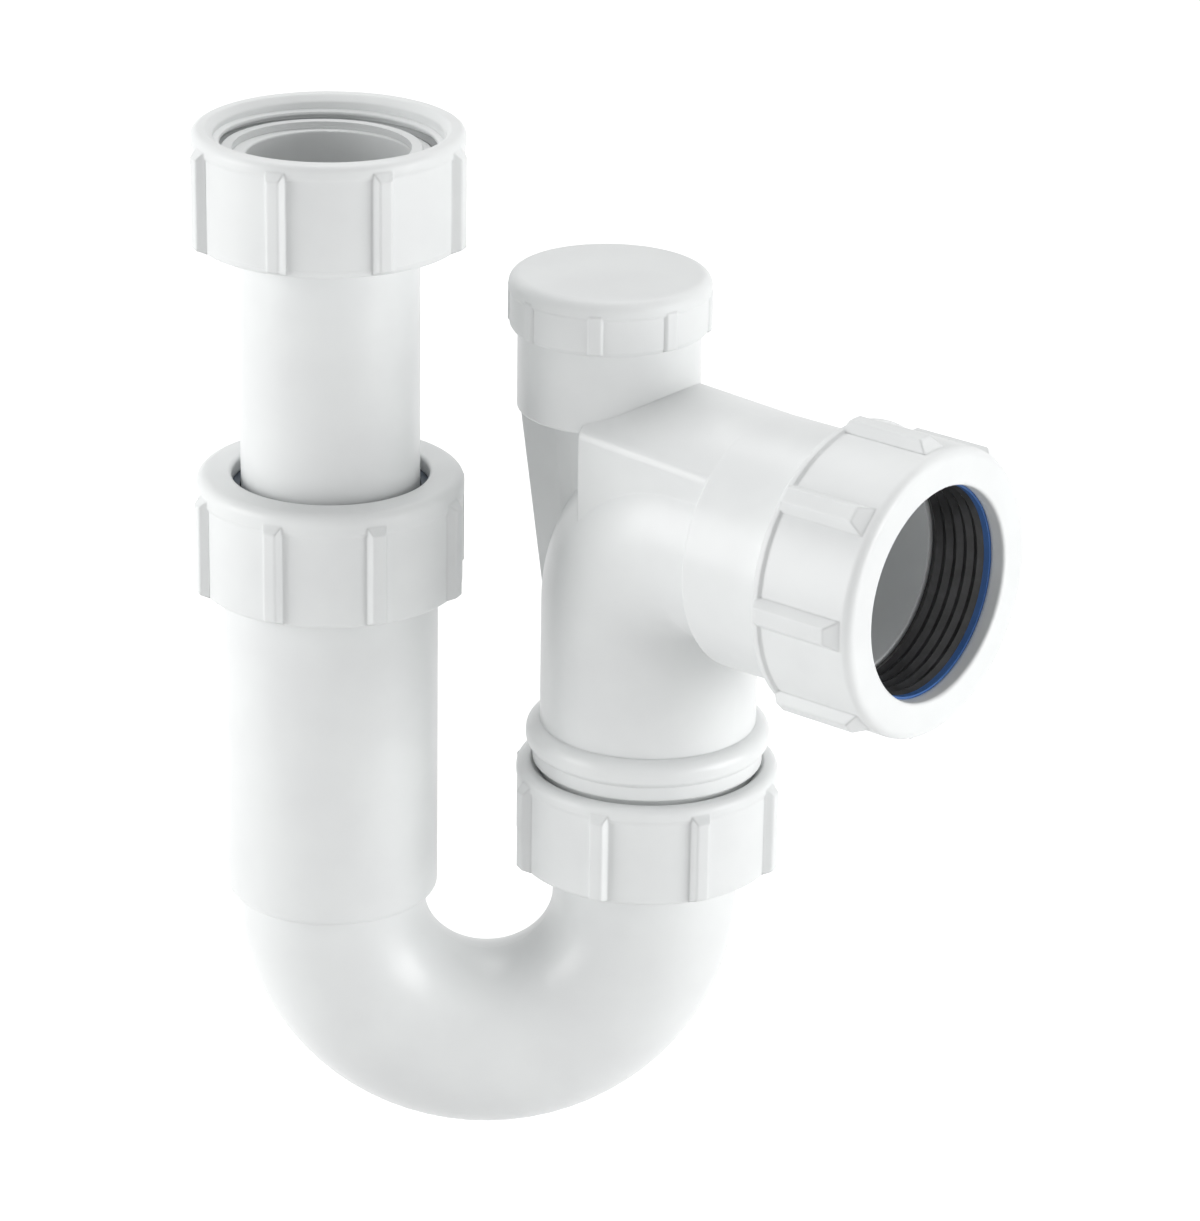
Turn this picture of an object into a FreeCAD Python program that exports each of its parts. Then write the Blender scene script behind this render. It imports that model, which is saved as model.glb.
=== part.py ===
"""Tubular swivel trap with an adjustable inlet leg and an air valve, in millimetres.

The origin is the centre of the inlet washer's upper face, where the tail of the basin waste
lands. +Z is up, along the inlet leg. The U-bend lies in the XZ plane, with the swivel leg at
+X. The outlet leaves the elbow sideways, at outlet_azimuth from +X.
"""
import FreeCAD, Part
import math
import os

os.makedirs("parts", exist_ok=True)

# Clearances and fits
running_gap = 0.3
flat_gap = 0.1
weld_gap = 0.05

# Inlet nut and swivel nut
thread_radius = 23.9
thread_relief = 0.4
nut_wall = 4.2
nut_rim_swell = 0.3
nut_rim_band = 3.4
nut_rib_height = 1.9
nut_rib_root = 4.4
nut_rib_crest = 2.7
nut_rib_count = 8
nut_shoulder = 3.0
nut_hole_gap = 0.6
nut_mouth_chamfer = 1.5
inlet_nut_height = 23.9
swivel_nut_height = 22.5
rim_above_washer = 4.2
inlet_nut_turn = -67.2
swivel_nut_turn = -69.4

# Telescopic inlet tube and its washer
tube_inset = 4.9
tube_radius = thread_radius - tube_inset
tube_wall = 1.8
tube_bore = tube_radius - tube_wall
tube_flange_reach = 2.8
tube_flange_radius = tube_radius + tube_flange_reach
tube_flange_height = 4.5
tube_length = 116.5
inlet_washer_height = 1.5
inlet_washer_inset = 0.8
inlet_washer_radius = tube_flange_radius - inlet_washer_inset
inlet_washer_shift = 1.4
inlet_washer_bore = tube_bore + inlet_washer_shift

# Sleeve on the bend, with its slide nut and seal
sleeve_gap = 1.4
socket_bore = tube_radius + sleeve_gap
socket_wall = 2.5
socket_radius = socket_bore + socket_wall
socket_thread_height = 1.7
socket_thread_radius = socket_radius + socket_thread_height
socket_thread_length = 15.5
socket_top = -78.9
socket_bottom = -167.8
slide_nut_top = -71.0
slide_nut_height = 25.2
slide_nut_wall = 3.5
slide_nut_gap = 2.0
slide_nut_bore = tube_radius + slide_nut_gap
slide_nut_turn = -70.1
slide_shoulder = 3.2
friction_ring_height = 1.8
seal_depth = 8.0
seal_flange_height = 2.0

# U-bend
leg_spacing = 68.5
bend_radius = leg_spacing / 2
spigot_fit = 0.2
bend_tube_radius = socket_bore - spigot_fit
bend_wall = 2.0
bend_centre_height = -169.7
spigot_height = 19.7
leg_flange_reach = 2.0
leg_flange_radius = bend_tube_radius + leg_flange_reach
leg_flange_height = 3.0
leg_flange_bottom = -157.5
swivel_washer_height = 3.0

# Elbow: tail, bead and bend
elbow_inset = 0.4
elbow_radius = thread_radius - elbow_inset
elbow_wall = 3.1
elbow_bore = elbow_radius - elbow_wall
elbow_bend_room = 1.1
elbow_bend_radius = elbow_bore + elbow_bend_room
bead_reach = 3.0
bead_radius = elbow_radius + bead_reach
bead_height = 6.0
bead_centre = -131.3
tail_band_reach = 1.5
tail_band_radius = elbow_radius + tail_band_reach
tail_band_gap = 0.7
outlet_height = -79.9
outlet_azimuth = -42.4

# Elbow: outlet run, with its distances measured from the axis of the swivel leg
collar_radius = 27.3
collar_start = 29.5
outlet_thread_start = 50.6
outlet_thread_radius = 26.6
outlet_end = 64.5
pipe_bore = 21.8
pipe_stop = 30.0
seal_pocket_radius = 24.2
seal_pocket_start = 57.0

# Outlet nut, blue ring and ribbed seal
outlet_nut_face = 75.5
outlet_nut_length = 24.4
outlet_nut_wall = 4.1
outlet_nut_rib_height = 2.2
outlet_nut_rib_root = 6.4
outlet_nut_rib_crest = 3.4
outlet_nut_lip_bore = 23.0
outlet_nut_turn = 91.0
outlet_shoulder = 3.4
blue_ring_height = 1.4
blue_ring_bore = 22.5
outlet_seal_bore = 22.1
outlet_seal_ribs = 5
outlet_seal_rib_height = 0.7

# Air valve: chamber, duct and web of the elbow
chamber_offset = 12.5
chamber_radius = 19.6
chamber_bore = 17.2
chamber_top = -33.4
chamber_bottom = -59.7
duct_half_width = 19.6
duct_rear = 4.6
duct_rear_radius = 28.7
duct_rounding = 3.0
web_depth = 55.0
web_half_width = 12.4
web_back_half_width = 9.5
web_taper = 2.2
web_reach_top = 29.5
web_reach_bottom = 22.0
web_shoulder = 17.5
moulding_wall = 2.4

# Air valve: cap, seat, membrane and plunger
cap_radius = 21.3
cap_rib_height = 0.5
cap_rib_root = 3.4
cap_rib_crest = 2.4
cap_top = -29.8
cap_bottom = -41.7
cap_wall = 2.0
cap_turn = -104.0
seat_flange_height = 1.3
seat_depth = 8.4
seat_wall = 1.5
seat_floor = 1.4
lip_top = -35.9
lip_height = 2.2
inner_lip_radius = 9.0
outer_lip_radius = 14.0
lip_width = 0.9
port_radius = 1.0
port_count = 6
o_ring_radius = 0.6
membrane_height = 0.8
plunger_height = 0.9
plunger_radius = 11.0
stem_radius = 1.5
stem_length = 8.0
hub_radius = 3.4

UP = FreeCAD.Vector(0, 0, 1)
CENTRE = FreeCAD.Vector(0, 0, 0)


def corner_arc(before, corner, after, radius):
    """Start, middle and end of the arc that rounds a corner of a profile."""
    back = (before - corner).normalize()
    ahead = (after - corner).normalize()
    half = back.getAngle(ahead) / 2
    reach = radius / math.tan(half)
    start = corner + back * reach
    end = corner + ahead * reach
    bisector = (back + ahead).normalize()
    middle = corner + bisector * (radius / math.sin(half) - radius)
    return start, middle, end


def profile(points):
    """Closed face in the XZ plane from (radius, height) points.

    A point with a third value is a corner rounded to that radius.
    """
    corners = [FreeCAD.Vector(point[0], 0, point[1]) for point in points]
    edges = []
    ends = []
    for index, point in enumerate(points):
        corner = corners[index]
        if len(point) == 2:
            ends.append((corner, corner))
            continue
        before = corners[index - 1]
        after = corners[(index + 1) % len(points)]
        start, middle, end = corner_arc(before, corner, after, point[2])
        edges.append(Part.Arc(start, middle, end).toShape())
        ends.append((start, end))
    for index in range(len(points)):
        line_start = ends[index - 1][1]
        line_end = ends[index][0]
        if line_start.distanceToPoint(line_end) > 1e-6:
            edges.append(Part.LineSegment(line_start, line_end).toShape())
    return Part.Face(Part.Wire(Part.sortEdges(edges)[0]))


def turned(points):
    """Solid turned about the vertical axis from a (radius, height) profile."""
    return profile(points).revolve(CENTRE, UP, 360)


def disc(radius, low, high):
    """Plain cylinder between two heights."""
    return Part.makeCylinder(radius, high - low, FreeCAD.Vector(0, 0, low))


def ring(bore, radius, low, high, rounding):
    """Ring of rectangular section with rounded outer corners."""
    return turned([(bore, low), (radius, low, rounding), (radius, high, rounding), (bore, high)])


def patterned(piece, count, first_angle):
    """Copies of a piece spaced evenly round the vertical axis."""
    copies = []
    for index in range(count):
        copy = piece.copy()
        copy.rotate(CENTRE, UP, first_angle + index * 360 / count)
        copies.append(copy)
    return copies


def grip_ribs(inner, outer, root, crest, count, first_angle, low, high, low_slope, high_slope):
    """Raised grip ribs round a nut: drafted bars with rounded crests and sloping ends."""
    sunk = 0.6
    section = profile([
        (inner - sunk, -root / 2),
        (inner, -root / 2),
        (outer, -crest / 2, 0.45),
        (outer, crest / 2, 0.45),
        (inner, root / 2),
        (inner - sunk, root / 2),
    ])
    bar = section.extrude(FreeCAD.Vector(0, high - low, 0))
    bar.rotate(CENTRE, FreeCAD.Vector(1, 0, 0), 90)
    bar.translate(UP * low)
    rise = outer - inner
    envelope = turned([
        (inner - sunk - 1, low),
        (inner, low),
        (outer + 0.1, low + rise * low_slope, 0.5),
        (outer + 0.1, high - rise * high_slope, 0.8),
        (inner, high),
        (inner - sunk - 1, high),
    ])
    return [envelope.common(copy) for copy in patterned(bar, count, first_angle)]


def union_nut(tube_radius_inside, height, turn):
    """Loose nut with the standard thread: rim and mouth above, ribs round it, shoulder below."""
    hole = tube_radius_inside + nut_hole_gap
    body_radius = thread_radius + thread_relief + nut_wall - nut_rim_swell
    rim_radius = body_radius + nut_rim_swell
    mouth_radius = thread_radius + nut_mouth_chamfer
    body = turned([
        (hole, 0),
        (body_radius, 0, 1.0),
        (body_radius, height - nut_rim_band),
        (rim_radius, height - nut_rim_band + 0.6),
        (rim_radius, height, 1.6),
        (mouth_radius, height, 0.3),
        (thread_radius, height - nut_mouth_chamfer),
        (thread_radius, height - rim_above_washer),
        (thread_radius + thread_relief, height - rim_above_washer),
        (thread_radius + thread_relief, nut_shoulder, 1.0),
        (hole, nut_shoulder),
    ])
    ribs = grip_ribs(body_radius, body_radius + nut_rib_height, nut_rib_root, nut_rib_crest,
                     nut_rib_count, turn, 0.5, height - 1.6, 0.4, 1.0)
    return body.multiFuse(ribs).removeSplitter()


def outlet_frame(shape, distance):
    """Move a shape turned about Z onto the outlet axis, at a distance along it."""
    moved = shape.copy()
    moved.rotate(CENTRE, FreeCAD.Vector(1, 1, 1), 120)
    moved.rotate(CENTRE, UP, outlet_azimuth)
    along = FreeCAD.Vector(math.cos(math.radians(outlet_azimuth)),
                           math.sin(math.radians(outlet_azimuth)), 0)
    moved.translate(FreeCAD.Vector(leg_spacing, 0, outlet_height) + along * distance)
    return moved


def elbow_frame(shape):
    """Move a shape drawn with the outlet along +X onto the swivel leg."""
    moved = shape.copy()
    moved.rotate(CENTRE, UP, outlet_azimuth)
    moved.translate(FreeCAD.Vector(leg_spacing, 0, 0))
    return moved


def chamber_frame(shape):
    """Move a shape turned about Z onto the axis of the valve chamber."""
    moved = shape.copy()
    moved.translate(FreeCAD.Vector(-chamber_offset, 0, 0))
    return elbow_frame(moved)


def inlet_nut():
    nut = union_nut(tube_radius, inlet_nut_height, inlet_nut_turn)
    nut.translate(UP * (rim_above_washer - inlet_nut_height))
    return nut


def inlet_washer():
    """Thin loose washer on the tube's flange, a little to one side as such washers lie."""
    washer = ring(inlet_washer_bore, inlet_washer_radius, -inlet_washer_height, 0, 0.4)
    washer.translate(FreeCAD.Vector(-inlet_washer_shift, 0, 0))
    return washer


def inlet_tube():
    flange_top = -inlet_washer_height
    flange_bottom = flange_top - tube_flange_height
    end = flange_top - tube_length
    return turned([
        (tube_bore, end),
        (tube_radius - 1.0, end),
        (tube_radius, end + 3.0),
        (tube_radius, flange_bottom, 0.8),
        (tube_flange_radius, flange_bottom, 0.5),
        (tube_flange_radius, flange_top),
        (tube_bore, flange_top, 0.4),
    ])


def slide_nut():
    """Compression nut on the sleeve: broad shoulder above, ribs round it."""
    bottom = slide_nut_top - slide_nut_height
    shoulder_under = slide_nut_top - slide_shoulder
    nut_thread = socket_thread_radius + running_gap
    body_radius = nut_thread + slide_nut_wall - nut_rim_swell
    rim_radius = body_radius + nut_rim_swell
    band = slide_nut_top - nut_rim_band - 1.6
    body = turned([
        (nut_thread, bottom),
        (body_radius, bottom, 0.8),
        (body_radius, band),
        (rim_radius, band + 0.6),
        (rim_radius, slide_nut_top, 2.2),
        (slide_nut_bore, slide_nut_top, 0.8),
        (slide_nut_bore, shoulder_under),
        (nut_thread, shoulder_under),
    ])
    ribs = grip_ribs(body_radius, body_radius + nut_rib_height, nut_rib_root, nut_rib_crest,
                     nut_rib_count, slide_nut_turn, bottom + 0.5, slide_nut_top - 2.6, 0.4, 1.0)
    return body.multiFuse(ribs).removeSplitter()


def slide_friction_ring():
    top = slide_nut_top - slide_shoulder - flat_gap
    bore = tube_radius + running_gap
    return ring(bore, socket_thread_radius - 0.3, top - friction_ring_height, top, 0.3)


def slide_seal():
    """Tapered rubber seal: a flange on the sleeve's mouth and a wedge inside it."""
    flange_radius = socket_radius + 0.9
    mouth = socket_radius - 0.9
    top = socket_top + seal_flange_height
    bore = tube_radius + running_gap
    tip_radius = (bore + socket_bore) / 2
    return turned([
        (bore, socket_top - seal_depth + 0.8),
        (tip_radius, socket_top - seal_depth + 0.8),
        (mouth - 0.3, socket_top + weld_gap),
        (flange_radius, socket_top + weld_gap),
        (flange_radius, top, 0.5),
        (bore, top, 0.6),
    ])


def inlet_socket():
    """Sleeve round the telescopic tube, pushed and welded over the bend's spigot."""
    bore = socket_bore
    thread_end = socket_top - socket_thread_length
    return turned([
        (bore, socket_bottom),
        (socket_radius, socket_bottom, 2.2),
        (socket_radius, thread_end),
        (socket_thread_radius, thread_end + 0.8),
        (socket_thread_radius, socket_top, 0.8),
        (socket_radius - 0.9, socket_top),
        (bore, socket_top - seal_depth),
    ])


def bend_path_solid(radius, spigot_end, leg_end):
    """Round bar along the bend: up the spigot on one side and up the leg on the other."""
    base = FreeCAD.Vector(0, 0, bend_centre_height)
    pivot = FreeCAD.Vector(bend_radius, 0, bend_centre_height)
    circle = Part.Face(Part.Wire(Part.makeCircle(radius, base, UP)))
    half_turn = circle.revolve(pivot, FreeCAD.Vector(0, -1, 0), 180)
    spigot = Part.makeCylinder(radius, spigot_end - bend_centre_height, base)
    foot = FreeCAD.Vector(leg_spacing, 0, bend_centre_height)
    leg = Part.makeCylinder(radius, leg_end - bend_centre_height, foot)
    return half_turn.multiFuse([spigot, leg])


def u_bend():
    """Bend with a spigot for the sleeve and a flange that keeps the swivel nut on the leg."""
    spigot_end = bend_centre_height + spigot_height
    leg_end = leg_flange_bottom + leg_flange_height
    outside = bend_path_solid(bend_tube_radius, spigot_end, leg_end)
    flange = turned([
        (bend_tube_radius - 1, leg_flange_bottom),
        (leg_flange_radius, leg_flange_bottom, 0.5),
        (leg_flange_radius, leg_end),
        (bend_tube_radius - 1, leg_end),
    ])
    flange.translate(FreeCAD.Vector(leg_spacing, 0, 0))
    inside = bend_path_solid(bend_tube_radius - bend_wall, spigot_end, leg_end)
    return outside.fuse(flange).cut(inside).removeSplitter()


def swivel_nut():
    nut = union_nut(bend_tube_radius, swivel_nut_height, swivel_nut_turn)
    nut.translate(FreeCAD.Vector(leg_spacing, 0, leg_flange_bottom - nut_shoulder - flat_gap))
    return nut


def swivel_washer():
    bottom = leg_flange_bottom + leg_flange_height
    washer = ring(bend_tube_radius - bend_wall + 0.2, leg_flange_radius,
                  bottom, bottom + swivel_washer_height, 0.4)
    washer.translate(FreeCAD.Vector(leg_spacing, 0, 0))
    return washer


def bend_section(radius):
    """D-shaped section of the elbow's bend, cut off short of the axis that it turns about."""
    reach = min(elbow_bend_radius - 0.4, radius * 0.9)
    half_chord = math.sqrt(radius ** 2 - reach ** 2)
    chord_start = FreeCAD.Vector(reach, -half_chord, 0)
    chord_end = FreeCAD.Vector(reach, half_chord, 0)
    arc = Part.Arc(chord_start, FreeCAD.Vector(-radius, 0, 0), chord_end).toShape()
    chord = Part.LineSegment(chord_end, chord_start).toShape()
    return Part.Wire([arc, chord])


def elbow_bend():
    """Outside of the elbow's bend: the section turned through a right angle."""
    section = Part.Face(bend_section(elbow_radius))
    pivot = FreeCAD.Vector(elbow_bend_radius, 0, 0)
    bend = section.revolve(pivot, FreeCAD.Vector(0, 1, 0), 90)
    bend.translate(UP * (outlet_height - elbow_bend_radius))
    return bend


def air_duct():
    """Duct from the chamber to the collar: flat sides, a crowned top and soft upper edges."""
    length = duct_rear + collar_start + 1
    box = Part.makeBox(length, 2 * duct_half_width, duct_rear_radius,
                       FreeCAD.Vector(-duct_rear, -duct_half_width, 0))
    crown = Part.makeCone(duct_rear_radius, collar_radius - 0.1, length,
                          FreeCAD.Vector(-duct_rear, 0, 0), FreeCAD.Vector(1, 0, 0))
    duct = box.common(crown)
    upper = []
    for edge in duct.Edges:
        middle = edge.BoundBox.Center
        if middle.z > 1 and edge.BoundBox.XLength > length / 2:
            upper.append(edge)
    duct = duct.makeFillet(duct_rounding, upper)
    duct.translate(UP * outlet_height)
    return duct


def web_loft(inset, top, bottom):
    """Tapered box under the valve chamber, leaning in to meet the tail."""
    levels = []
    ends = ((top, web_reach_top, 0), (bottom, web_reach_bottom, web_taper))
    for height, outer_reach, taper in ends:
        reach = outer_reach - inset
        half_width = web_half_width - taper - inset
        back_half_width = web_back_half_width - taper - inset / 2
        shoulder = web_shoulder * reach / web_reach_top
        corners = [
            FreeCAD.Vector(0, -half_width, height),
            FreeCAD.Vector(0, half_width, height),
            FreeCAD.Vector(-shoulder, half_width, height),
            FreeCAD.Vector(-reach, back_half_width, height),
            FreeCAD.Vector(-reach, -back_half_width, height),
            FreeCAD.Vector(-shoulder, -half_width, height),
        ]
        levels.append(Part.makePolygon(corners + corners[:1]))
    return Part.makeLoft(levels, True, True)


def elbow_outside():
    """Everything that the elbow's mould makes on the outside, with the outlet along +X."""
    tail_end = leg_flange_bottom + leg_flange_height + swivel_washer_height
    bend_start = outlet_height - elbow_bend_radius
    tail = turned([
        (0, tail_end),
        (thread_radius - running_gap, tail_end, 0.6),
        (thread_radius - running_gap, bead_centre),
        (elbow_radius, bead_centre),
        (elbow_radius, bend_start),
        (0, bend_start),
    ])
    half_bead = bead_height / 2
    nut_top = leg_flange_bottom - nut_shoulder - flat_gap + swivel_nut_height
    band = disc(tail_band_radius, nut_top + tail_band_gap, bead_centre)
    bead = turned([
        (elbow_radius - 2, bead_centre - half_bead),
        (bead_radius, bead_centre - half_bead, 2.2),
        (bead_radius, bead_centre + half_bead, 2.8),
        (elbow_radius - 2, bead_centre + half_bead),
    ])
    run = turned([
        (0, elbow_bend_radius),
        (elbow_radius, elbow_bend_radius),
        (elbow_radius, collar_start),
        (collar_radius, collar_start, 0.8),
        (collar_radius, outlet_thread_start),
        (outlet_thread_radius, outlet_thread_start),
        (outlet_thread_radius, outlet_end, 0.8),
        (0, outlet_end),
    ])
    run.rotate(CENTRE, FreeCAD.Vector(1, 1, 1), 120)
    run.translate(UP * outlet_height)
    chamber = turned([
        (0, chamber_bottom),
        (chamber_radius, chamber_bottom, 0.6),
        (chamber_radius, chamber_top),
        (0, chamber_top),
    ])
    chamber.translate(FreeCAD.Vector(-chamber_offset, 0, 0))
    web = web_loft(0, chamber_bottom + 1, chamber_bottom - web_depth)
    return tail.multiFuse([bead, band, elbow_bend(), run, air_duct(), chamber, web])


def waterway():
    """Core of the elbow: up the tail, round the bend and into the outlet run."""
    tail_end = leg_flange_bottom + leg_flange_height + swivel_washer_height
    start = UP * (tail_end - 1)
    bend_start = UP * (outlet_height - elbow_bend_radius)
    bend_end = FreeCAD.Vector(elbow_bend_radius, 0, outlet_height)
    run_end = FreeCAD.Vector(pipe_stop + 1, 0, outlet_height)
    half_way = elbow_bend_radius * math.sqrt(0.5)
    bend_middle = bend_start + FreeCAD.Vector(elbow_bend_radius - half_way, 0, half_way)
    path = Part.Wire([
        Part.LineSegment(start, bend_start).toShape(),
        Part.Arc(bend_start, bend_middle, bend_end).toShape(),
        Part.LineSegment(bend_end, run_end).toShape(),
    ])
    section = Part.Wire(Part.makeCircle(elbow_bore, start, UP))
    section.rotate(start, UP, 180)
    return path.makePipeShell([section], True, False)


def mouth_chamfer():
    """Chamfer in the chamber's mouth that leaves just enough room for the O-ring."""
    return o_ring_radius * (2 + math.sqrt(2)) + flat_gap


def air_port(start, end):
    """Side port of the air valve, at the height of the seat's air channel."""
    height = chamber_top - seat_depth + seat_floor + port_radius + 0.2
    return Part.makeCylinder(port_radius, end - start, FreeCAD.Vector(start, 0, height),
                             FreeCAD.Vector(1, 0, 0))


def elbow_cores():
    """Waterway, pipe socket, seal pocket, valve chamber and its air passage, cut in turn."""
    along = FreeCAD.Vector(1, 0, 0)
    pipe_start = FreeCAD.Vector(pipe_stop, 0, outlet_height)
    pipe_socket = Part.makeCylinder(pipe_bore, outlet_end + 1 - pipe_stop, pipe_start, along)
    pocket_start = FreeCAD.Vector(seal_pocket_start, 0, outlet_height)
    pocket_length = outlet_end + 1 - seal_pocket_start
    pocket = Part.makeCylinder(seal_pocket_radius, pocket_length, pocket_start, along)
    floor = chamber_bottom + moulding_wall
    chamfer = mouth_chamfer()
    chamber_hollow = turned([
        (0, floor),
        (chamber_bore, floor, 1.0),
        (chamber_bore, chamber_top - chamfer),
        (chamber_bore + chamfer, chamber_top),
        (chamber_bore + chamfer, chamber_top + 1),
        (0, chamber_top + 1),
    ])
    port = air_port(chamber_bore - 1, chamber_radius + 1)
    cores = [chamber_hollow] + patterned(port, port_count, 0)
    for core in cores:
        core.translate(FreeCAD.Vector(-chamber_offset, 0, 0))
    passage = web_loft(moulding_wall, floor + 1, chamber_bottom - web_depth + moulding_wall)
    return [waterway(), pipe_socket, pocket, passage] + cores


def outlet_elbow():
    """Tail, bead, bend, outlet socket, duct, web and valve chamber in one moulding."""
    moulding = elbow_outside()
    for core in elbow_cores():
        moulding = moulding.cut(core)
    return elbow_frame(moulding.removeSplitter())


def outlet_nut():
    """Compression nut with a broad flat face, drawn with its face at zero and its body behind."""
    nut_thread = outlet_thread_radius + running_gap
    rear = -outlet_nut_length
    body_radius = nut_thread + outlet_nut_wall
    body = turned([
        (nut_thread, rear),
        (body_radius + 0.5, rear, 0.5),
        (body_radius + 0.5, rear + 1.6),
        (body_radius, rear + 2.1),
        (body_radius, 0, 2.0),
        (outlet_nut_lip_bore, 0, 0.6),
        (outlet_nut_lip_bore, -outlet_shoulder),
        (nut_thread, -outlet_shoulder),
    ])
    ribs = grip_ribs(body_radius, body_radius + outlet_nut_rib_height, outlet_nut_rib_root,
                     outlet_nut_rib_crest, nut_rib_count, outlet_nut_turn,
                     rear + 0.8, -2.4, 0.5, 1.2)
    return outlet_frame(body.multiFuse(ribs).removeSplitter(), outlet_nut_face)


def outlet_friction_ring():
    front = outlet_nut_face - outlet_shoulder - flat_gap
    blue = ring(blue_ring_bore, outlet_thread_radius - 0.2, -blue_ring_height, 0, 0.3)
    return outlet_frame(blue, front)


def outlet_seal():
    """Ribbed rubber seal: flange on the socket's end, sleeve in its pocket, ribs to the pipe."""
    front = outlet_nut_face - outlet_shoulder - flat_gap - blue_ring_height - flat_gap
    flange_back = outlet_end + weld_gap
    back = seal_pocket_start + 0.3
    sleeve_radius = seal_pocket_radius - weld_gap
    pitch = (front - back) / outlet_seal_ribs
    points = [(outlet_seal_bore + outlet_seal_rib_height, back)]
    for index in range(outlet_seal_ribs):
        crest = back + pitch * (index + 0.5)
        valley = back + pitch * (index + 1)
        points.append((outlet_seal_bore, crest))
        if index < outlet_seal_ribs - 1:
            points.append((outlet_seal_bore + outlet_seal_rib_height, valley))
    points.append((outlet_seal_bore + outlet_seal_rib_height, front))
    points.append((outlet_thread_radius - 0.3, front, 0.4))
    points.append((outlet_thread_radius - 0.3, flange_back))
    points.append((sleeve_radius, flange_back))
    points.append((sleeve_radius, back, 0.5))
    return outlet_frame(turned(points), 0)


def valve_cap():
    """Screw cap with a soft upper edge, low ribs on its skirt and a chamfered lower edge."""
    under = cap_top - cap_wall
    skirt_bore = chamber_radius + running_gap
    body = turned([
        (0, under),
        (skirt_bore, under),
        (skirt_bore, cap_bottom),
        (cap_radius - 0.5, cap_bottom),
        (cap_radius, cap_bottom + 0.8),
        (cap_radius, cap_top - 4.0),
        (cap_radius + 0.3, cap_top - 3.6),
        (cap_radius + 0.3, cap_top, 2.4),
        (0, cap_top),
    ])
    ribs = grip_ribs(cap_radius, cap_radius + cap_rib_height, cap_rib_root, cap_rib_crest,
                     nut_rib_count, cap_turn, cap_bottom + 0.3, cap_top - 2.8, 0.6, 1.0)
    return chamber_frame(body.multiFuse(ribs).removeSplitter())


def valve_seat():
    """Insert with two annular lips, side ports to the outer air and a hub for the stem."""
    outer = chamber_bore - running_gap / 2
    bottom = chamber_top - seat_depth
    floor = lip_top - lip_height
    channel_floor = bottom + seat_floor
    outer_lip_bore = outer_lip_radius - lip_width
    body = turned([
        (inner_lip_radius - lip_width, bottom),
        (outer, bottom),
        (outer, chamber_top),
        (chamber_radius - 0.6, chamber_top),
        (chamber_radius - 0.6, chamber_top + seat_flange_height, 0.3),
        (outer - seat_wall, chamber_top + seat_flange_height),
        (outer - seat_wall, floor),
        (outer_lip_radius, floor),
        (outer_lip_radius, lip_top, 0.3),
        (outer_lip_bore, lip_top, 0.3),
        (outer_lip_bore, channel_floor),
        (inner_lip_radius, channel_floor),
        (inner_lip_radius, lip_top, 0.3),
        (inner_lip_radius - lip_width, lip_top, 0.3),
    ])
    port = air_port(inner_lip_radius + 1, chamber_radius)
    relief_radius = (outer_lip_radius + outer - seat_wall) / 2
    relief = Part.makeCylinder(0.6, seat_depth, FreeCAD.Vector(relief_radius, 0, bottom - 1))
    step = 360 / port_count
    cuts = patterned(port, port_count, 0) + patterned(relief, port_count, step / 2)
    hub_top = lip_top - 2.0
    hub = ring(stem_radius + running_gap, hub_radius, bottom, hub_top, 0.3)
    spoke_length = inner_lip_radius - lip_width - hub_radius + 1
    spoke = Part.makeBox(spoke_length, 1.6, hub_top - bottom - 1,
                         FreeCAD.Vector(hub_radius - 0.5, -0.8, bottom))
    frame = body.cut(Part.makeCompound(cuts)).multiFuse([hub] + patterned(spoke, 3, 30))
    return chamber_frame(frame.removeSplitter())


def valve_seat_seal():
    """O-ring in the chamber's chamfered mouth, under the seat's flange."""
    centre_radius = chamber_bore - running_gap / 2 + o_ring_radius + flat_gap / 4
    height = chamber_top - o_ring_radius - flat_gap / 4
    o_ring = Part.makeTorus(centre_radius, o_ring_radius, UP * height, UP)
    return chamber_frame(o_ring)


def valve_membrane():
    bottom = lip_top + flat_gap
    disc_radius = outer_lip_radius + 0.5
    membrane = ring(stem_radius, disc_radius, bottom, bottom + membrane_height, 0.3)
    return chamber_frame(membrane)


def valve_plunger():
    """Stiff disc on the membrane, with a stem that slides in the seat's hub."""
    bottom = lip_top + flat_gap + membrane_height
    plunger = turned([
        (0, bottom - stem_length),
        (stem_radius, bottom - stem_length, 0.5),
        (stem_radius, bottom),
        (plunger_radius, bottom),
        (plunger_radius, bottom + plunger_height, 0.4),
        (0, bottom + plunger_height),
    ])
    return chamber_frame(plunger)


PIECES = {
    "inlet_nut": inlet_nut,
    "inlet_washer": inlet_washer,
    "inlet_tube": inlet_tube,
    "slide_nut": slide_nut,
    "slide_friction_ring": slide_friction_ring,
    "slide_seal": slide_seal,
    "inlet_socket": inlet_socket,
    "u_bend": u_bend,
    "swivel_nut": swivel_nut,
    "swivel_washer": swivel_washer,
    "outlet_elbow": outlet_elbow,
    "outlet_nut": outlet_nut,
    "outlet_friction_ring": outlet_friction_ring,
    "outlet_seal": outlet_seal,
    "valve_cap": valve_cap,
    "valve_seat": valve_seat,
    "valve_seat_seal": valve_seat_seal,
    "valve_membrane": valve_membrane,
    "valve_plunger": valve_plunger,
}

for name, build in PIECES.items():
    piece = build()
    solid = piece.Solids[0] if len(piece.Solids) == 1 else piece
    solid.exportStep("parts/" + name + ".step")
    state = "valid" if solid.isValid() else "invalid"
    print(name, len(piece.Solids), "solid,", state, round(solid.Volume / 1000, 2), "cm3")
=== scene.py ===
import math

import bpy
from mathutils import Matrix, Vector


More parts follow.
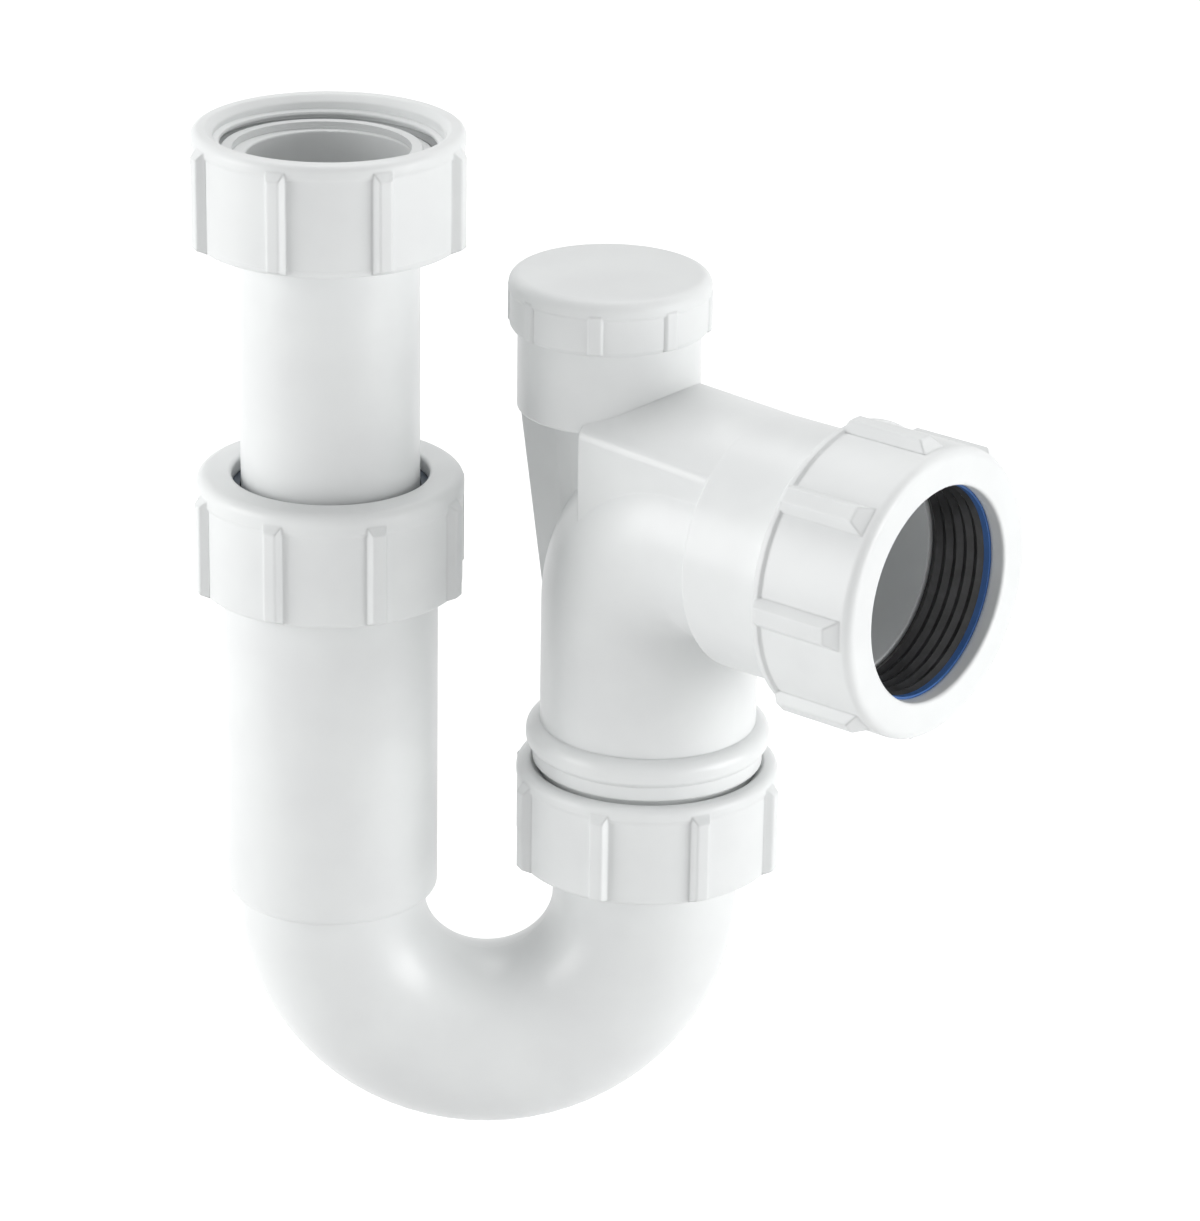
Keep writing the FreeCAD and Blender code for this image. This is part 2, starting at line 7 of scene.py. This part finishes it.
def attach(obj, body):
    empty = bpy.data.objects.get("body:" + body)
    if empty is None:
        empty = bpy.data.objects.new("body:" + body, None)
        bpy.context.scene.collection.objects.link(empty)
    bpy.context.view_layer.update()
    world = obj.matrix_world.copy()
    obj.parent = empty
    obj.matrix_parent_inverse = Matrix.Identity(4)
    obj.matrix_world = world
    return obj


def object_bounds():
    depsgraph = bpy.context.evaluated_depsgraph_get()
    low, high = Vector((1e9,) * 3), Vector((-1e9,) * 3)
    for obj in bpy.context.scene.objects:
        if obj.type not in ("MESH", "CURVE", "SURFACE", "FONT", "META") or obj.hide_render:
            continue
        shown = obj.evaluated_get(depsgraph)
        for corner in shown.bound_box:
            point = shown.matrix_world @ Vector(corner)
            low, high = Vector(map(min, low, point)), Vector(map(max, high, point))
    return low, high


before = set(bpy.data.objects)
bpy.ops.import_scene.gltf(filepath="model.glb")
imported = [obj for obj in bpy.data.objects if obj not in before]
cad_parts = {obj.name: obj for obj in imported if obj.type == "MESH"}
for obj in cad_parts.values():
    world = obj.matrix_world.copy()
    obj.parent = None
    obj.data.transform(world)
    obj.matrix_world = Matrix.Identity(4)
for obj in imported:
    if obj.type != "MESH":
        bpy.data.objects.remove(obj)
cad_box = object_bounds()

# Inlet nut
# A loose ribbed nut of white polypropylene, moulded in one and unscrewed off its core.
# Its standard thread takes the tail of the basin waste and pulls it down on the washer.
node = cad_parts
MOULDED_IOR = 1.49
MOULDED_SPECULAR = 0.42
CLOUD_SCALE = 45.0
CLOUD_DETAIL = 3.0
CLOUD_RANGE = (0.35, 0.65)
CLOUD_DARK = (0.935, 0.952, 0.953)
CLOUD_PALE = (0.980, 1.0, 0.997)
SMEAR_SCALE = 60.0
SMEAR_ROUGHNESS = (-0.03, 0.04)
CORNER_SAMPLES = 6
RIPPLE_SCALE = 70.0
RIPPLE_DEPTH = 0.0006
SEAM_HALF_WIDTH = 0.00018
SEAM_STRENGTH = 0.35
SEAM_HEIGHT = 0.0001


def white_plastic(name, tone, roughness, ripple, corner_radius, seam):
    """Satin white moulding: faint flow marks, soft ripples and corners, a fine parting line.

    The seam is the parting plane: its unit normal and its signed distance from the origin.
    """
    material = bpy.data.materials.new(name)
    material.use_nodes = True
    nodes = material.node_tree.nodes
    links = material.node_tree.links
    shader = nodes["Principled BSDF"]
    shader.inputs["IOR"].default_value = MOULDED_IOR
    shader.inputs["Specular IOR Level"].default_value = MOULDED_SPECULAR
    place = nodes.new("ShaderNodeTexCoord")

    clouds = nodes.new("ShaderNodeTexNoise")
    clouds.inputs["Scale"].default_value = CLOUD_SCALE
    clouds.inputs["Detail"].default_value = CLOUD_DETAIL
    links.new(place.outputs["Object"], clouds.inputs["Vector"])
    tint = nodes.new("ShaderNodeValToRGB")
    casts = (CLOUD_DARK, CLOUD_PALE)
    for stop, position, cast in zip(tint.color_ramp.elements, CLOUD_RANGE, casts):
        stop.position = position
        stop.color = (*[tone * part for part in cast], 1.0)
    links.new(clouds.outputs["Fac"], tint.inputs["Fac"])
    links.new(tint.outputs["Color"], shader.inputs["Base Color"])

    smear = nodes.new("ShaderNodeTexNoise")
    smear.inputs["Scale"].default_value = SMEAR_SCALE
    smear.inputs["Detail"].default_value = 1.0
    links.new(place.outputs["Object"], smear.inputs["Vector"])
    gloss = nodes.new("ShaderNodeMapRange")
    gloss.inputs["To Min"].default_value = roughness + SMEAR_ROUGHNESS[0]
    gloss.inputs["To Max"].default_value = roughness + SMEAR_ROUGHNESS[1]
    links.new(smear.outputs["Fac"], gloss.inputs["Value"])
    links.new(gloss.outputs["Result"], shader.inputs["Roughness"])

    corners = nodes.new("ShaderNodeBevel")
    corners.samples = CORNER_SAMPLES
    corners.inputs["Radius"].default_value = corner_radius
    waves = nodes.new("ShaderNodeTexNoise")
    waves.inputs["Scale"].default_value = RIPPLE_SCALE
    waves.inputs["Detail"].default_value = 1.0
    links.new(place.outputs["Object"], waves.inputs["Vector"])
    sink = nodes.new("ShaderNodeBump")
    sink.inputs["Strength"].default_value = ripple
    sink.inputs["Distance"].default_value = RIPPLE_DEPTH
    links.new(waves.outputs["Fac"], sink.inputs["Height"])
    links.new(corners.outputs["Normal"], sink.inputs["Normal"])

    seam_axis = nodes.new("ShaderNodeVectorMath")
    seam_axis.operation = "DOT_PRODUCT"
    seam_axis.inputs[1].default_value = seam[:3]
    links.new(place.outputs["Object"], seam_axis.inputs[0])
    seam_offset = nodes.new("ShaderNodeMath")
    seam_offset.operation = "SUBTRACT"
    seam_offset.inputs[1].default_value = seam[3]
    links.new(seam_axis.outputs["Value"], seam_offset.inputs[0])
    seam_side = nodes.new("ShaderNodeMath")
    seam_side.operation = "ABSOLUTE"
    links.new(seam_offset.outputs["Value"], seam_side.inputs[0])
    flash = nodes.new("ShaderNodeMapRange")
    flash.inputs["From Min"].default_value = 0.0
    flash.inputs["From Max"].default_value = SEAM_HALF_WIDTH
    flash.inputs["To Min"].default_value = 1.0
    flash.inputs["To Max"].default_value = 0.0
    links.new(seam_side.outputs["Value"], flash.inputs["Value"])
    line = nodes.new("ShaderNodeBump")
    line.inputs["Strength"].default_value = SEAM_STRENGTH
    line.inputs["Distance"].default_value = SEAM_HEIGHT
    links.new(flash.outputs["Result"], line.inputs["Height"])
    links.new(sink.outputs["Normal"], line.inputs["Normal"])
    links.new(line.outputs["Normal"], shader.inputs["Normal"])
    return material


def dress(name, material):
    """Give a node of the frame one material in place of what it has."""
    mesh = node[name].data
    mesh.materials.clear()
    mesh.materials.append(material)


nut_white = white_plastic("nut white", 0.80, 0.38, 0.25, 0.0009, (0.0, 0.0, 1.0, -0.0182))
dress("inlet_nut", nut_white)

THREAD_PITCH = 0.00231
THREAD_STEPS = 72
ROOT_HALF_SHARE = 0.36
CREST_HALF_SHARE = 0.12
THREAD_SMOOTH_ANGLE = math.radians(35)
WELD_DISTANCE = 0.000001
INLET_THREAD_ROOT = 0.02435
INLET_THREAD_CREST = 0.0226
INLET_THREAD_TOP = 0.0024
INLET_THREAD_TURNS = 5
RUN_OUT_STEPS = 14
RUN_OUT_DEPTH = 0.00015


def thread_ridge(name, root, crest, top, turns, material, body):
    """Helical ridge of a screw thread, wound downwards from its upper end.

    Both ends of the ridge run out into the wall, a little short of its root.
    """
    bpy.ops.object.select_all(action="DESELECT")
    bpy.ops.mesh.primitive_plane_add(size=1.0, location=(0.0, 0.0, 0.0))
    ridge = bpy.context.object
    ridge.name = name
    half_root = THREAD_PITCH * ROOT_HALF_SHARE
    half_crest = THREAD_PITCH * CREST_HALF_SHARE
    section = [(root, -half_root), (crest, -half_crest), (root, half_root), (crest, half_crest)]
    start = top - THREAD_PITCH * turns
    for vertex, (radius, height) in zip(ridge.data.vertices, section):
        vertex.co = (radius, 0.0, start + height)
    screw = ridge.modifiers.new("winding", "SCREW")
    screw.angle = math.tau
    screw.screw_offset = THREAD_PITCH
    screw.iterations = turns
    screw.steps = THREAD_STEPS
    screw.render_steps = THREAD_STEPS
    screw.use_merge_vertices = True
    bpy.ops.object.modifier_apply(modifier="winding")
    bpy.ops.object.mode_set(mode="EDIT")
    bpy.ops.mesh.select_all(action="SELECT")
    bpy.ops.mesh.remove_doubles(threshold=WELD_DISTANCE)
    bpy.ops.mesh.select_all(action="DESELECT")
    bpy.ops.object.mode_set(mode="OBJECT")
    steps_to_end = {}
    for vertex in ridge.data.vertices:
        if math.hypot(vertex.co.x, vertex.co.y) < (root + crest) / 2:
            share = math.atan2(vertex.co.y, vertex.co.x) / math.tau % 1.0
            turn = round((vertex.co.z - start) / THREAD_PITCH - share)
            steps = (turn + share) * THREAD_STEPS
            steps_to_end[vertex.index] = min(steps, turns * THREAD_STEPS - steps)
    run_out = ((root - RUN_OUT_DEPTH) / crest) ** (1 / RUN_OUT_STEPS)
    for step in range(RUN_OUT_STEPS):
        for index, steps in steps_to_end.items():
            ridge.data.vertices[index].select = steps < step + 0.5
        bpy.ops.object.mode_set(mode="EDIT")
        bpy.ops.transform.resize(value=(run_out, run_out, 1.0),
                                 center_override=(0.0, 0.0, 0.0))
        bpy.ops.mesh.select_all(action="DESELECT")
        bpy.ops.object.mode_set(mode="OBJECT")
    bpy.ops.object.mode_set(mode="EDIT")
    bpy.ops.mesh.select_all(action="SELECT")
    bpy.ops.mesh.normals_make_consistent(inside=False)
    bpy.ops.object.mode_set(mode="OBJECT")
    ridge.data.materials.append(material)
    bpy.ops.object.shade_smooth_by_angle(angle=THREAD_SMOOTH_ANGLE)
    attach(ridge, body)


thread_ridge("inlet_nut_thread", INLET_THREAD_ROOT, INLET_THREAD_CREST, INLET_THREAD_TOP,
             INLET_THREAD_TURNS, nut_white, "inlet_nut")

# Inlet washer and tube
# A soft pale washer on the flange of the telescopic tube, which is an extruded white pipe
# with a moulded flange. The tube slides down into the sleeve to set the height.
washer_white = white_plastic("washer white", 0.74, 0.5, 0.1, 0.0002, (0.0, 0.0, 1.0, -0.00075))
dress("inlet_washer", washer_white)
tube_white = white_plastic("tube white", 0.80, 0.32, 0.35, 0.0006, (0.0, 1.0, 0.0, 0.0))
dress("inlet_tube", tube_white)

# Slide nut with its slip ring and seal
# The ribbed white nut is screwed down on the sleeve. It squeezes a tapered black rubber seal
# between the sleeve's mouth and the tube, through a slip ring under its shoulder.
dress("slide_nut", nut_white)
BLOOM_SCALE = 220.0
BLOOM_DETAIL = 5.0
BLOOM_RANGE = (0.4, 0.75)
BLOOM_CAST = (2.2, 2.2, 2.3)
GRAIN_SCALE = 2500.0
GRAIN_STRENGTH = 0.2
GRAIN_DEPTH = 0.0001


def rubber(name, shade, roughness):
    """Black moulded rubber with a faint bloom and a matt, slightly grainy skin."""
    material = bpy.data.materials.new(name)
    material.use_nodes = True
    nodes = material.node_tree.nodes
    links = material.node_tree.links
    shader = nodes["Principled BSDF"]
    place = nodes.new("ShaderNodeTexCoord")
    bloom = nodes.new("ShaderNodeTexNoise")
    bloom.inputs["Scale"].default_value = BLOOM_SCALE
    bloom.inputs["Detail"].default_value = BLOOM_DETAIL
    links.new(place.outputs["Object"], bloom.inputs["Vector"])
    tint = nodes.new("ShaderNodeValToRGB")
    casts = ((1.0, 1.0, 1.0), BLOOM_CAST)
    for stop, position, cast in zip(tint.color_ramp.elements, BLOOM_RANGE, casts):
        stop.position = position
        stop.color = (*[shade * part for part in cast], 1.0)
    links.new(bloom.outputs["Fac"], tint.inputs["Fac"])
    links.new(tint.outputs["Color"], shader.inputs["Base Color"])
    shader.inputs["Roughness"].default_value = roughness
    grain = nodes.new("ShaderNodeTexNoise")
    grain.inputs["Scale"].default_value = GRAIN_SCALE
    links.new(place.outputs["Object"], grain.inputs["Vector"])
    skin = nodes.new("ShaderNodeBump")
    skin.inputs["Strength"].default_value = GRAIN_STRENGTH
    skin.inputs["Distance"].default_value = GRAIN_DEPTH
    links.new(grain.outputs["Fac"], skin.inputs["Height"])
    links.new(skin.outputs["Normal"], shader.inputs["Normal"])
    return material


black_rubber = rubber("black rubber", 0.024, 0.36)
dress("slide_seal", black_rubber)
SLIP_CLOUD_SCALE = 300.0
SLIP_CLOUD_GAIN = 1.25


def slip_plastic(name, colour, roughness):
    """Smooth coloured slip ring with a slightly uneven tint."""
    material = bpy.data.materials.new(name)
    material.use_nodes = True
    nodes = material.node_tree.nodes
    links = material.node_tree.links
    shader = nodes["Principled BSDF"]
    place = nodes.new("ShaderNodeTexCoord")
    clouds = nodes.new("ShaderNodeTexNoise")
    clouds.inputs["Scale"].default_value = SLIP_CLOUD_SCALE
    links.new(place.outputs["Object"], clouds.inputs["Vector"])
    tint = nodes.new("ShaderNodeMix")
    tint.data_type = "RGBA"
    tint.inputs["A"].default_value = (*colour, 1.0)
    tint.inputs["B"].default_value = (*[value * SLIP_CLOUD_GAIN for value in colour], 1.0)
    links.new(clouds.outputs["Fac"], tint.inputs["Factor"])
    links.new(tint.outputs["Result"], shader.inputs["Base Color"])
    shader.inputs["Roughness"].default_value = roughness
    return material


# The slip ring's dark grey-blue is painted shade: its colour is darkened for the shadow it lies
# in under the nut's shoulder.
slip_ring_painted_shade = slip_plastic("slip ring painted shade", (0.040, 0.056, 0.078), 0.40)
dress("slide_friction_ring", slip_ring_painted_shade)

# Sleeve and U-bend
# The sleeve is a separate moulding welded over the bend's spigot once the swivel nut is on.
# The bend is moulded round a curved core and keeps a faint parting line along its middle.
dress("inlet_socket", tube_white)
dress("u_bend", tube_white)

# Swivel nut and washer
# The nut is captive between the bend and the flange at the end of its leg. It draws the
# elbow's threaded tail down on a flat rubber washer.
dress("swivel_nut", nut_white)
dress("swivel_washer", black_rubber)

# Outlet elbow
# One white moulding: threaded tail, bead, bend, pipe socket with its collar, and the side
# duct, web and chamber of the air valve.
dress("outlet_elbow", tube_white)

# Outlet nut, blue slip ring and ribbed seal
# The white nut is screwed on the elbow's pipe socket. Its flat lip presses the blue plastic
# ring and the black ribbed rubber seal on the waste pipe.
dress("outlet_nut", nut_white)
ring_blue = slip_plastic("ring blue", (0.045, 0.13, 0.36), 0.35)
dress("outlet_friction_ring", ring_blue)
dress("outlet_seal", black_rubber)

# Air valve
# Under the ribbed screw cap, a rubber membrane lies on the two lips of the seat and lifts
# to let air in when the waste pipe runs full.
cap_white = white_plastic("cap white", 0.80, 0.48, 0.25, 0.0006, (0.0, 0.0, 1.0, -0.0417))
dress("valve_cap", cap_white)
dress("valve_seat", nut_white)
dress("valve_plunger", nut_white)
dress("valve_seat_seal", black_rubber)
dress("valve_membrane", black_rubber)

# Floor
# A plain pale studio floor, low enough to leave the bend free at the foot of its travel. The
# camera sees it almost white with the object's soft shadow, and looks through it from below.
FLOOR_GAP = 0.031
FLOOR_HALF_WIDTH = 3.0
FLOOR_PALE = (0.85, 0.85, 0.85, 1.0)
FLOOR_ROUGHNESS = 0.9
FLOOR_GLOW = 1.45
FLOOR_GLOW_SHARE = 0.60
WHITE = (1.0, 1.0, 1.0, 1.0)


def maths(nodes, links, operation, first, second):
    """Output of a maths node that joins a socket with another socket or a number."""
    step = nodes.new("ShaderNodeMath")
    step.operation = operation
    links.new(first, step.inputs[0])
    if isinstance(second, float):
        step.inputs[1].default_value = second
    else:
        links.new(second, step.inputs[1])
    return step.outputs["Value"]


def seen(nodes, links, path):
    """One for the rays that show a surface: from the camera, through glass and in gloss."""
    direct = maths(nodes, links, "MAXIMUM", path.outputs["Is Camera Ray"],
                   path.outputs["Is Transmission Ray"])
    return maths(nodes, links, "MAXIMUM", direct, path.outputs["Is Glossy Ray"])


bpy.ops.object.select_all(action="DESELECT")
bpy.ops.mesh.primitive_plane_add(size=2 * FLOOR_HALF_WIDTH,
                                 location=(0.0, 0.0, cad_box[0][2] - FLOOR_GAP))
floor = bpy.context.object
floor.name = "studio_floor"
bpy.ops.object.transform_apply(location=True, rotation=True, scale=True)
floor_paint = bpy.data.materials.new("floor paint")
floor_paint.use_nodes = True
floor_nodes = floor_paint.node_tree.nodes
floor_links = floor_paint.node_tree.links
floor_shader = floor_nodes["Principled BSDF"]
floor_shader.inputs["Base Color"].default_value = FLOOR_PALE
floor_shader.inputs["Roughness"].default_value = FLOOR_ROUGHNESS
floor_glow = floor_nodes.new("ShaderNodeEmission")
floor_glow.inputs["Color"].default_value = WHITE
floor_glow.inputs["Strength"].default_value = FLOOR_GLOW
floor_path = floor_nodes.new("ShaderNodeLightPath")
floor_share = maths(floor_nodes, floor_links, "MULTIPLY",
                    seen(floor_nodes, floor_links, floor_path), FLOOR_GLOW_SHARE)
floor_mix = floor_nodes.new("ShaderNodeMixShader")
floor_links.new(floor_share, floor_mix.inputs["Fac"])
floor_links.new(floor_shader.outputs["BSDF"], floor_mix.inputs[1])
floor_links.new(floor_glow.outputs["Emission"], floor_mix.inputs[2])
floor_side = floor_nodes.new("ShaderNodeNewGeometry")
floor_under = maths(floor_nodes, floor_links, "MULTIPLY", floor_side.outputs["Backfacing"],
                    floor_path.outputs["Is Camera Ray"])
floor_clear = floor_nodes.new("ShaderNodeBsdfTransparent")
floor_skin = floor_nodes.new("ShaderNodeMixShader")
floor_links.new(floor_under, floor_skin.inputs["Fac"])
floor_links.new(floor_mix.outputs["Shader"], floor_skin.inputs[1])
floor_links.new(floor_clear.outputs["BSDF"], floor_skin.inputs[2])
floor_links.new(floor_skin.outputs["Shader"], floor_nodes["Material Output"].inputs["Surface"])
floor.data.materials.append(floor_paint)

# Light
# Three soft boxes, from the left, from the right and from above and behind, in an even pale
# surround. The surround is white where the camera and the gloss see it.
AIM = Vector((0.058, 0.0, -0.105))
SURROUND_LIGHT = 0.42
BACKDROP_LIGHT = 1.0


def soft_box(name, place, size, power):
    """Square area lamp aimed at the object."""
    lamp_data = bpy.data.lights.new(name, "AREA")
    lamp_data.size = size
    lamp_data.energy = power
    lamp = bpy.data.objects.new(name, lamp_data)
    lamp.location = place
    lamp.rotation_euler = (AIM - Vector(place)).to_track_quat("-Z", "Y").to_euler()
    bpy.context.scene.collection.objects.link(lamp)


soft_box("left", (-1.04, -0.20, 0.14), 0.7, 7.5)
soft_box("right", (1.06, -0.46, -0.08), 0.7, 9.8)
soft_box("top", (0.06, 0.45, 1.10), 0.9, 7.2)

world = bpy.data.worlds.new("pale surround")
bpy.context.scene.world = world
world.use_nodes = True
sky_nodes = world.node_tree.nodes
sky_links = world.node_tree.links
surround = sky_nodes["Background"]
surround.inputs["Color"].default_value = WHITE
surround.inputs["Strength"].default_value = SURROUND_LIGHT
backdrop = sky_nodes.new("ShaderNodeBackground")
backdrop.inputs["Color"].default_value = WHITE
backdrop.inputs["Strength"].default_value = BACKDROP_LIGHT
sky_path = sky_nodes.new("ShaderNodeLightPath")
sky_mix = sky_nodes.new("ShaderNodeMixShader")
sky_links.new(seen(sky_nodes, sky_links, sky_path), sky_mix.inputs["Fac"])
sky_links.new(surround.outputs["Background"], sky_mix.inputs[1])
sky_links.new(backdrop.outputs["Background"], sky_mix.inputs[2])
sky_links.new(sky_mix.outputs["Shader"], sky_nodes["World Output"].inputs["Surface"])

bpy.context.scene.view_settings.view_transform = "Standard"

# Camera
# The photograph's viewpoint, worked out from the round rims and the legs of the object:
# a long lens, 22 degrees above level and a little to the left, rolled by a degree.
PHOTO_WIDTH = 1200
FOCAL_PIXELS = 4804.7
SENSOR_WIDTH = 36.0
VIEW_DISTANCE = 1.03373
VIEW_HEIGHT_ANGLE = math.radians(21.89)
VIEW_TURN = math.radians(-3.20)
VIEW_ROLL = math.radians(0.96)
VIEW_TARGET = Vector((0.05771, 0.0, -0.1035))
NEAREST_SEEN = 0.05
FARTHEST_SEEN = 20.0
back = Vector((math.sin(VIEW_TURN) * math.cos(VIEW_HEIGHT_ANGLE),
               -math.cos(VIEW_TURN) * math.cos(VIEW_HEIGHT_ANGLE),
               math.sin(VIEW_HEIGHT_ANGLE)))
level_right = Vector((0.0, 0.0, 1.0)).cross(back).normalized()
level_up = back.cross(level_right)
right = math.cos(VIEW_ROLL) * level_right + math.sin(VIEW_ROLL) * level_up
up = math.cos(VIEW_ROLL) * level_up - math.sin(VIEW_ROLL) * level_right
camera_data = bpy.data.cameras.new("camera")
camera_data.sensor_fit = "HORIZONTAL"
camera_data.sensor_width = SENSOR_WIDTH
camera_data.lens = SENSOR_WIDTH * FOCAL_PIXELS / PHOTO_WIDTH
camera_data.clip_start = NEAREST_SEEN
camera_data.clip_end = FARTHEST_SEEN
camera = bpy.data.objects.new("camera", camera_data)
bpy.context.scene.collection.objects.link(camera)
turn = Matrix((right, up, back)).transposed().to_4x4()
camera.matrix_world = Matrix.Translation(VIEW_TARGET + back * VIEW_DISTANCE) @ turn
bpy.context.scene.camera = camera
